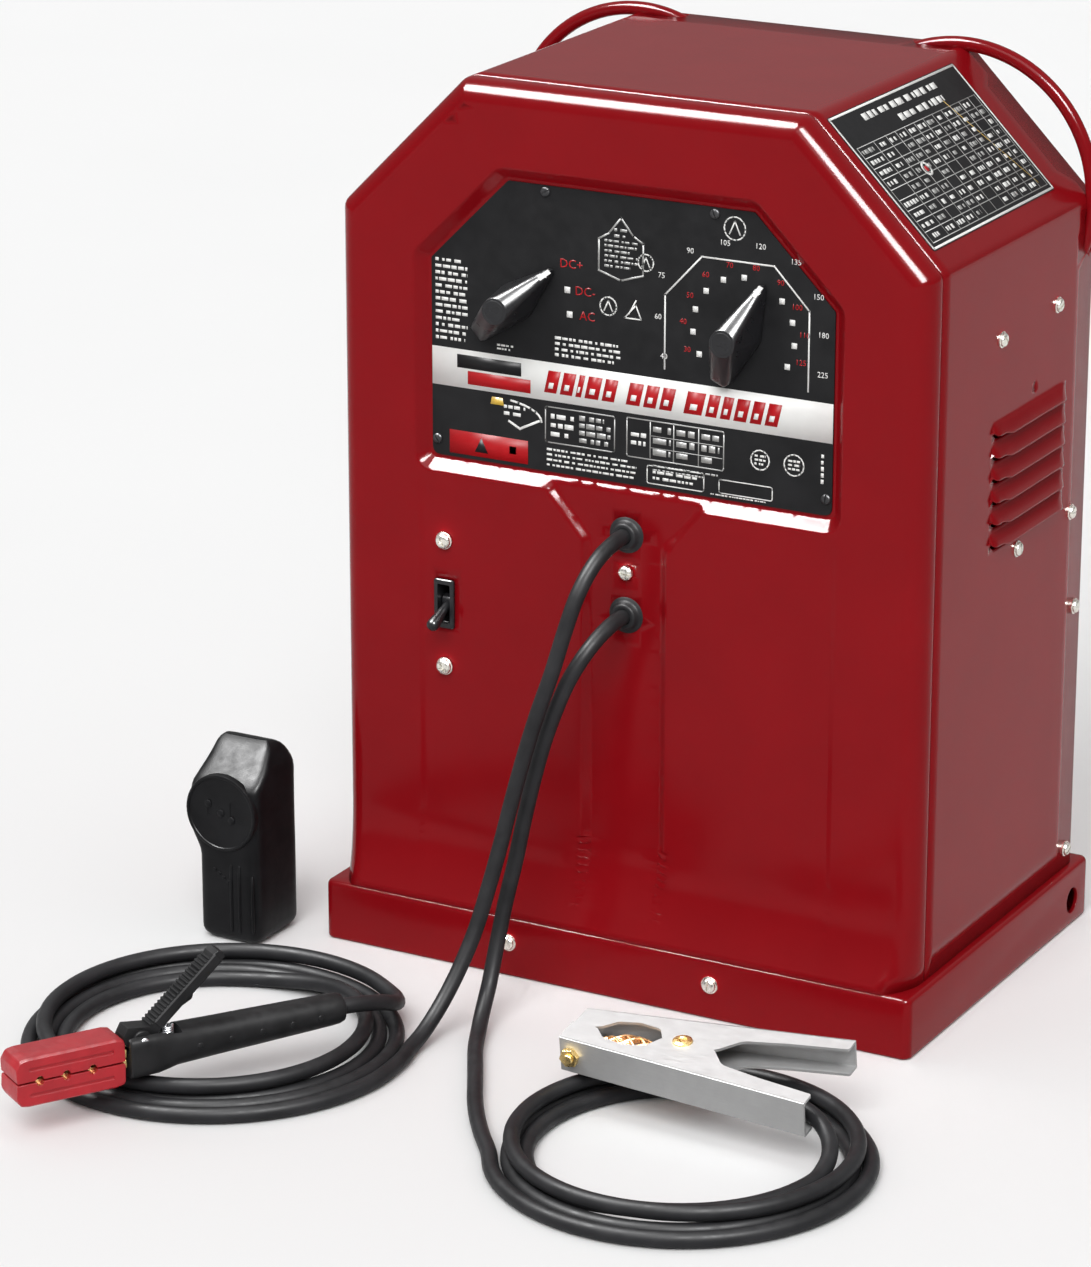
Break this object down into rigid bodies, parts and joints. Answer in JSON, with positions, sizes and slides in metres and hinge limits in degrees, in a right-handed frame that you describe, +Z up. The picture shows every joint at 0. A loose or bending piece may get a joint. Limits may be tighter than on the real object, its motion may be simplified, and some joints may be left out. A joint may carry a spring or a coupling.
{
  "type": "stick welder",
  "caption": "Upright transformer arc welder with sheet metal case, dial panel, corner lifting rods, electrode holder and work clamp on coiled cables, and a loose power receptacle.",
  "frame": {"origin": "middle of the base's underside, on the surface that the welder stands on", "axes": "+X to the right of someone who faces the dials, +Y from the front panel to the rear panel, +Z up"},
  "size_m": [0.6108, 0.6749, 0.6127],
  "materials": {
    "red_enamel": "glossy baked enamel",
    "black_plate": "satin printed plate",
    "black_screw": "black oxide",
    "zinc_screw": "zinc plated",
    "zinc_sheet": "zinc plated sheet",
    "black_rubber": "satin cable jacket",
    "black_plastic": "moulded, slight sheen",
    "black_phenolic": "matt heat-proof moulding",
    "bakelite": "moulded bakelite",
    "red_insulator": "glass filled moulding",
    "steel": "bright steel",
    "brass": "machined",
    "copper": "copper, enamelled where wound",
    "laminated_iron": "varnished laminations",
    "motor_steel": "grey paint",
    "aluminium": "mill finish",
    "brown_board": "laminated insulating board"
  },
  "bodies": {
    "housing": {"base_pan": "red_enamel", "base_rails": "zinc_sheet", "front_panel": "red_enamel", "wrapper": "red_enamel", "rear_panel": "red_enamel", "handle_left": "red_enamel", "handle_right": "red_enamel", "nameplate": "black_plate", "chamfer_label": "black_plate", "nameplate_screws": "black_screw", "case_screws": "zinc_screw", "base_screws": "zinc_screw", "switch_screws": "zinc_screw", "panel_bolt": "zinc_screw", "cable_glands": "black_rubber", "power_switch_body": "black_plastic", "switch_bushings": "brass", "switch_decks": "brown_board", "switch_contacts": "copper", "transformer_core": "laminated_iron", "primary_coil": "copper", "secondary_coil": "copper", "core_bolts": "zinc_screw", "choke_core": "laminated_iron", "choke_coil": "copper", "rectifier_bracket": "zinc_sheet", "heat_sinks": "aluminium", "diodes": "copper", "fan_motor": "motor_steel", "fan_bracket": "zinc_sheet", "terminal_board": "brown_board", "input_gland": "black_rubber", "electrode_cable_run": "black_rubber", "electrode_cable_coil": "black_rubber", "electrode_cable_tail": "black_rubber", "work_cable_run": "black_rubber", "work_cable_coil": "black_rubber", "work_cable_tail": "black_rubber", "holder_handle": "black_phenolic", "holder_jaw_lower": "red_insulator", "holder_pin": "steel", "holder_spring": "steel", "clamp_arm_front": "zinc_sheet", "clamp_rivet": "brass", "clamp_contacts": "brass", "clamp_spring": "steel", "clamp_lug": "copper", "receptacle_body": "bakelite", "receptacle_face": "bakelite"},
    "polarity_switch": {"polarity_knob": "black_plastic", "polarity_shaft": "steel", "polarity_rotor": "copper"},
    "current_switch": {"current_knob": "black_plastic", "current_shaft": "steel", "current_rotor": "copper"},
    "toggle": {"power_toggle": "black_plastic"},
    "fan": {"fan_blades": "black_plastic"},
    "holder_lever": {"holder_lever": "black_phenolic", "holder_jaw_upper": "red_insulator"},
    "clamp_arm": {"clamp_arm_back": "zinc_sheet"}
  },
  "joints": [
    {"name": "polarity_turn", "type": "hinge", "parent": "housing", "child": "polarity_switch", "pos_m": [-0.082, -0.1, 0.463], "axis": [0, 1, 0], "range_deg": [0, 48]},
    {"name": "current_turn", "type": "hinge", "parent": "housing", "child": "current_switch", "pos_m": [0.082, -0.1, 0.463], "axis": [0, 1, 0], "range_deg": [-144, 96]},
    {"name": "power_toggle_turn", "type": "hinge", "parent": "housing", "child": "toggle", "pos_m": [-0.134, -0.122, 0.25], "axis": [-1, 0, 0], "range_deg": [0, 48]},
    {"name": "fan_spin", "type": "hinge", "parent": "housing", "child": "fan", "pos_m": [0, 0.096, 0.38], "axis": [0, 1, 0], "continuous": true},
    {"name": "holder_lever_press", "type": "hinge", "parent": "housing", "child": "holder_lever", "pos_m": [-0.17663, -0.44521, 0.048], "axis": [-0.8499, 0.527, 0], "range_deg": [0, 12], "stiffness_Nm_per_rad": 6, "springref_deg": -8.59, "deforming": ["holder_spring"]},
    {"name": "clamp_squeeze", "type": "hinge", "parent": "housing", "child": "clamp_arm", "pos_m": [0.131, -0.292, 0.0395], "axis": [-0.0073, 0.139, -0.9903], "range_deg": [0, 16], "stiffness_Nm_per_rad": 8, "springref_deg": -11.46}
  ]
}
